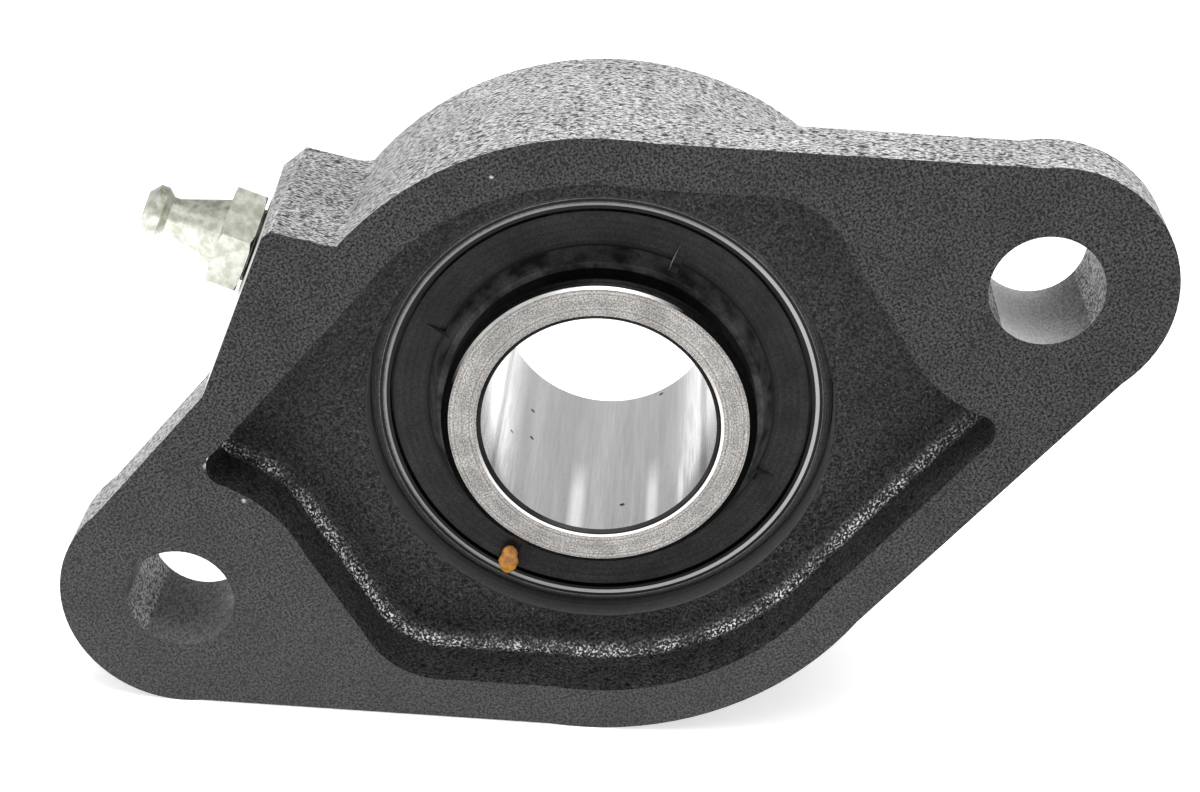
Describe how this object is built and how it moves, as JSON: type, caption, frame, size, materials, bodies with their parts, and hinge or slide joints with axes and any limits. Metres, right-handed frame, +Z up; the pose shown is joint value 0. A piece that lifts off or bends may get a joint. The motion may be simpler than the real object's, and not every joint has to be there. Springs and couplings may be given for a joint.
{
  "type": "flange bearing unit",
  "caption": "Rhombic cast flange bearing unit with a self-aligning ball insert, set screws, seals with thrower rings and a grease nipple on an angled pad.",
  "frame": {"origin": "on the shaft axis in the plane of the mounting face, midway between the bolt holes", "axes": "+Y along the shaft, away from the mounting face; +X along the line of the bolt holes; +Z up, towards the grease nipple's side"},
  "size_m": [0.1484, 0.0445, 0.0876],
  "materials": {
    "cast_iron": "as-cast grey iron, dark and matte, machined on the mounting face, pad and seat",
    "ground_steel": "ground bearing steel",
    "ball_steel": "polished bearing steel",
    "sheet_steel": "pressed sheet steel",
    "spring_steel": "drawn spring wire",
    "seal_rubber": "black moulded rubber",
    "black_coated_steel": "pressed steel with a black moulded coat",
    "black_steel": "black oxide on alloy steel",
    "zinc_steel": "yellow-passivated zinc on steel"
  },
  "bodies": {
    "housing": {"housing": "cast_iron", "grease_nipple_body": "zinc_steel", "grease_spring_retainer": "zinc_steel", "grease_spring": "spring_steel"},
    "grease_check_ball": {"grease_check_ball": "ball_steel"},
    "outer_ring": {"outer_ring": "ground_steel", "mount_side_seal_core": "sheet_steel", "mount_side_seal_lip": "seal_rubber", "hub_side_seal_core": "sheet_steel", "hub_side_seal_lip": "seal_rubber"},
    "inner_ring": {"inner_ring": "ground_steel", "mount_side_slinger": "black_coated_steel", "hub_side_slinger": "black_coated_steel"},
    "cage": {"cage_mount_half": "sheet_steel", "cage_hub_half": "sheet_steel", "cage_rivets": "sheet_steel"},
    "set_screw_1": {"set_screw_1": "black_steel"},
    "set_screw_2": {"set_screw_2": "black_steel"},
    "ball_1": {"ball_1": "ball_steel"},
    "ball_2": {"ball_2": "ball_steel"},
    "ball_3": {"ball_3": "ball_steel"},
    "ball_4": {"ball_4": "ball_steel"},
    "ball_5": {"ball_5": "ball_steel"},
    "ball_6": {"ball_6": "ball_steel"},
    "ball_7": {"ball_7": "ball_steel"},
    "ball_8": {"ball_8": "ball_steel"},
    "ball_9": {"ball_9": "ball_steel"}
  },
  "joints": [
    {"name": "insert_align", "type": "hinge", "parent": "housing", "child": "outer_ring", "pos_m": [0, 0.0223, 0], "axis": [1, 0, 0], "range_deg": [-2, 2]},
    {"name": "shaft_spin", "type": "hinge", "parent": "outer_ring", "child": "inner_ring", "pos_m": [0, 0.0223, 0], "axis": [0, 1, 0], "continuous": true},
    {"name": "cage_spin", "type": "hinge", "parent": "outer_ring", "child": "cage", "pos_m": [0, 0.0223, 0], "axis": [0, 1, 0], "continuous": true},
    {"name": "ball_1_roll", "type": "hinge", "parent": "cage", "child": "ball_1", "pos_m": [0, 0.0223, 0.023], "axis": [0, 1, 0], "continuous": true},
    {"name": "ball_2_roll", "type": "hinge", "parent": "cage", "child": "ball_2", "pos_m": [-0.01478, 0.0223, 0.01762], "axis": [0, 1, 0], "continuous": true},
    {"name": "ball_3_roll", "type": "hinge", "parent": "cage", "child": "ball_3", "pos_m": [-0.02265, 0.0223, 0.00399], "axis": [0, 1, 0], "continuous": true},
    {"name": "ball_4_roll", "type": "hinge", "parent": "cage", "child": "ball_4", "pos_m": [-0.01992, 0.0223, -0.0115], "axis": [0, 1, 0], "continuous": true},
    {"name": "ball_5_roll", "type": "hinge", "parent": "cage", "child": "ball_5", "pos_m": [-0.00787, 0.0223, -0.02161], "axis": [0, 1, 0], "continuous": true},
    {"name": "ball_6_roll", "type": "hinge", "parent": "cage", "child": "ball_6", "pos_m": [0.00787, 0.0223, -0.02161], "axis": [0, 1, 0], "continuous": true},
    {"name": "ball_7_roll", "type": "hinge", "parent": "cage", "child": "ball_7", "pos_m": [0.01992, 0.0223, -0.0115], "axis": [0, 1, 0], "continuous": true},
    {"name": "ball_8_roll", "type": "hinge", "parent": "cage", "child": "ball_8", "pos_m": [0.02265, 0.0223, 0.00399], "axis": [0, 1, 0], "continuous": true},
    {"name": "ball_9_roll", "type": "hinge", "parent": "cage", "child": "ball_9", "pos_m": [0.01478, 0.0223, 0.01762], "axis": [0, 1, 0], "continuous": true},
    {"name": "set_screw_1_travel", "type": "slide", "parent": "inner_ring", "child": "set_screw_1", "axis": [-0.866, 0, -0.5], "range_m": [-0.002, 0.0006]},
    {"name": "set_screw_2_travel", "type": "slide", "parent": "inner_ring", "child": "set_screw_2", "axis": [0.866, 0, -0.5], "range_m": [-0.002, 0.0006]},
    {"name": "grease_valve", "type": "slide", "parent": "housing", "child": "grease_check_ball", "axis": [0.7064, 0.0436, -0.7064], "range_m": [0, 0.001], "stiffness_N_per_m": 150, "springref_m": -0.002, "deforming": ["grease_spring"]}
  ],
  "couplings": [
    {"joint": "cage_spin", "follows": "shaft_spin", "ratio": 0.39647},
    {"joint": "ball_1_roll", "follows": "shaft_spin", "ratio": -2.3112},
    {"joint": "ball_2_roll", "follows": "shaft_spin", "ratio": -2.3112},
    {"joint": "ball_3_roll", "follows": "shaft_spin", "ratio": -2.3112},
    {"joint": "ball_4_roll", "follows": "shaft_spin", "ratio": -2.3112},
    {"joint": "ball_5_roll", "follows": "shaft_spin", "ratio": -2.3112},
    {"joint": "ball_6_roll", "follows": "shaft_spin", "ratio": -2.3112},
    {"joint": "ball_7_roll", "follows": "shaft_spin", "ratio": -2.3112},
    {"joint": "ball_8_roll", "follows": "shaft_spin", "ratio": -2.3112},
    {"joint": "ball_9_roll", "follows": "shaft_spin", "ratio": -2.3112}
  ]
}
